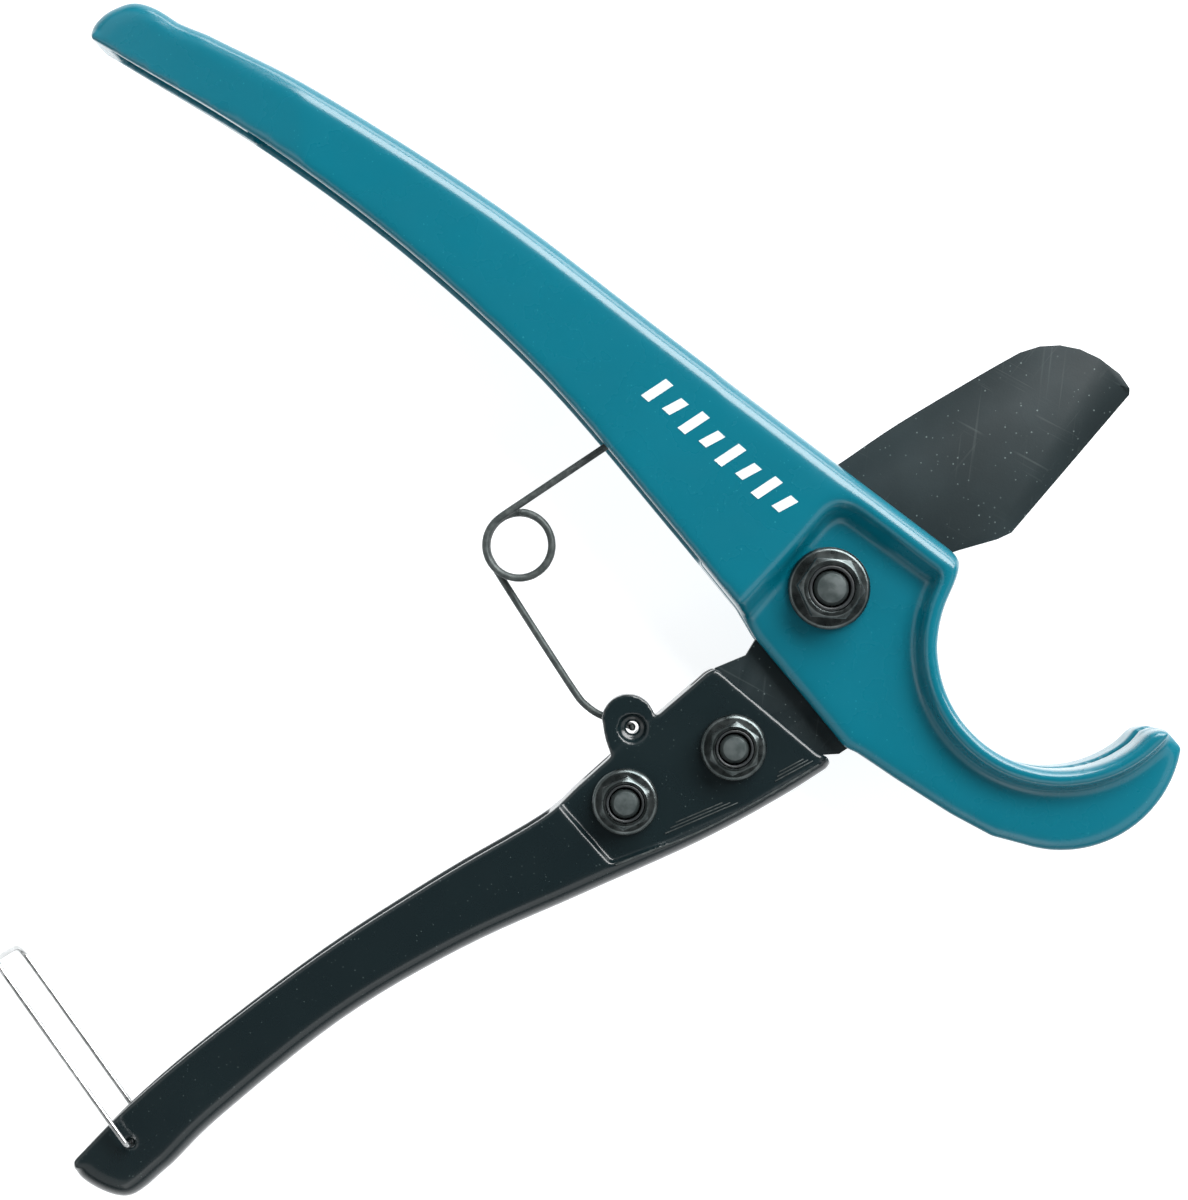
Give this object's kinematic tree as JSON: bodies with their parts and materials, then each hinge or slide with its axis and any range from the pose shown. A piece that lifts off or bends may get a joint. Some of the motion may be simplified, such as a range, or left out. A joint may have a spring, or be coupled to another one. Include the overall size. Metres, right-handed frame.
{
  "type": "pvc pipe cutter",
  "caption": "One-hand cutter for plastic pipe: channel handles, hooked jaw, pivoting blade clamped in the lever, torsion spring and wire lock bail.",
  "frame": {"origin": "on the blade's pivot axis, at the outer face of the pivot bolt's head, which is the lowest face of the tool as it lies on its side", "axes": "+Z along the pivot axis, up from the surface the tool lies on, towards the nut; +X from the pivot towards the jaw's mouth, midway between the open handles' directions reversed; +Y towards the jaw handle"},
  "size_m": [0.2037, 0.2055, 0.0224],
  "materials": {
    "teal_paint": "gloss powder paint over die-cast alloy",
    "black_paint": "gloss black paint over die-cast alloy",
    "blade_coating": "matte non-stick coating on steel",
    "black_oxide": "black oxide, lightly oiled",
    "nylon": "moulded",
    "bronze": "sintered, oiled",
    "bright_steel": "bright drawn",
    "spring_steel": "dark tempered"
  },
  "bodies": {
    "jaw": {"jaw_body": "teal_paint", "pivot_bolt": "black_oxide", "pivot_bolt_washer": "black_oxide", "pivot_nut": "black_oxide", "pivot_nut_insert": "nylon", "pivot_bush": "bronze", "thrust_washer_near": "bright_steel", "thrust_washer_far": "bright_steel"},
    "lever": {"lever_body": "black_paint", "blade": "blade_coating", "blade_front_bolt": "black_oxide", "blade_front_bolt_washer": "black_oxide", "blade_front_nut": "black_oxide", "blade_front_nut_insert": "nylon", "blade_rear_bolt": "black_oxide", "blade_rear_bolt_washer": "black_oxide", "blade_rear_nut": "black_oxide", "blade_rear_nut_insert": "nylon"},
    "spring_coil": {"torsion_spring_coil": "spring_steel"},
    "spring_arm": {"torsion_spring_arm": "spring_steel"},
    "bail": {"lock_bail": "bright_steel"}
  },
  "joints": [
    {"name": "lever_pivot", "type": "hinge", "parent": "jaw", "child": "lever", "pos_m": [0, 0, 0.0112], "axis": [0, 0, -1], "range_deg": [0, 68], "stiffness_Nm_per_rad": 0.9, "springref_deg": -28.65},
    {"name": "spring_leg", "type": "hinge", "parent": "lever", "child": "spring_coil", "pos_m": [-0.0337, -0.024, 0.0112], "axis": [0, 0, -1], "range_deg": [-76, 0]},
    {"name": "spring_wind", "type": "hinge", "parent": "spring_coil", "child": "spring_arm", "pos_m": [-0.0533, 0.0075, 0.0112], "axis": [0, 0, -1], "range_deg": [0, 78]},
    {"name": "bail_swing", "type": "hinge", "parent": "lever", "child": "bail", "pos_m": [-0.1198, -0.0951, 0.0112], "axis": [0, 0, 1], "range_deg": [-20, 250]}
  ],
  "couplings": [
    {"joint": "spring_leg", "follows": "lever_pivot", "ratio": -1.115},
    {"joint": "spring_wind", "follows": "lever_pivot", "ratio": 1.145}
  ]
}
